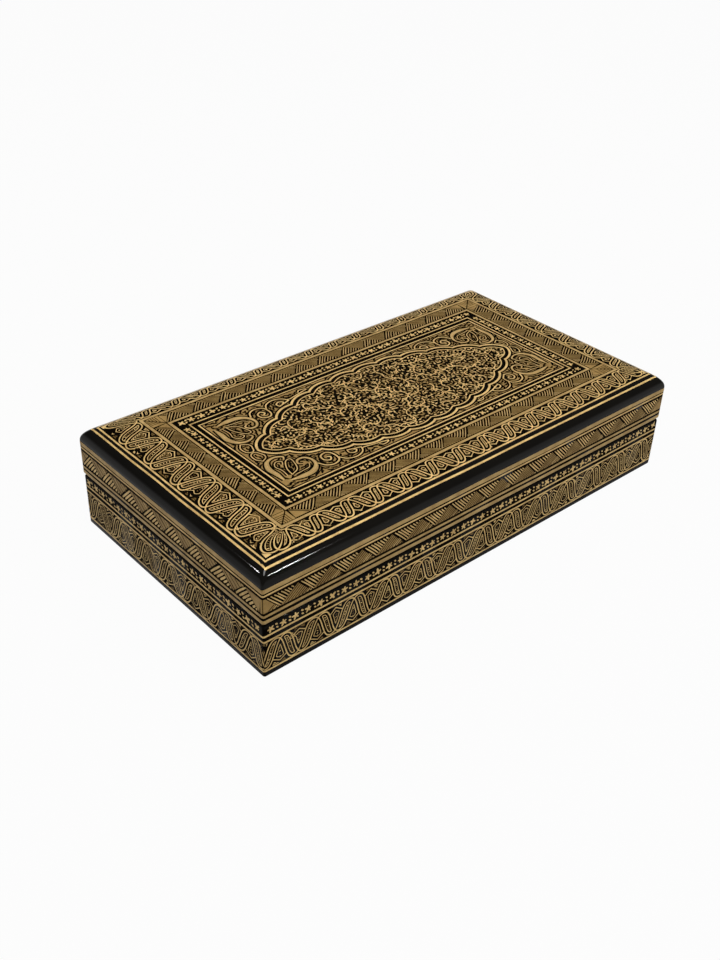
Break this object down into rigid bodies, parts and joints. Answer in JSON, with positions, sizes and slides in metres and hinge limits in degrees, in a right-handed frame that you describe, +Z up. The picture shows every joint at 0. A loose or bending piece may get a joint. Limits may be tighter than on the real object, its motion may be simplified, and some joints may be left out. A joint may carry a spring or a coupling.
{
  "type": "lidded box",
  "caption": "Flat rectangular lacquered box with a lift-off lid that slips over an inner collar; softly curved top edge, black with dense gold ornament.",
  "frame": {"origin": "centre of the underside, on the surface that the box stands on", "axes": "+X along the long side, +Y from the front to the back, +Z up"},
  "size_m": [0.203, 0.11, 0.0435],
  "materials": {
    "gilded_lacquer": "gloss lacquer over fine gold painting on black",
    "black_lacquer": "gloss lacquer"
  },
  "bodies": {
    "base": {"base_floor": "black_lacquer", "base_front_wall": "gilded_lacquer", "base_back_wall": "gilded_lacquer", "base_left_wall": "gilded_lacquer", "base_right_wall": "gilded_lacquer", "collar_front": "black_lacquer", "collar_back": "black_lacquer", "collar_left": "black_lacquer", "collar_right": "black_lacquer"},
    "lid": {"lid_top": "gilded_lacquer", "lid_front_wall": "gilded_lacquer", "lid_back_wall": "gilded_lacquer", "lid_left_wall": "gilded_lacquer", "lid_right_wall": "gilded_lacquer"}
  },
  "joints": [
    {"name": "lid_lift", "type": "slide", "parent": "base", "child": "lid", "axis": [0, 0, 1], "range_m": [0, 0.06]}
  ]
}
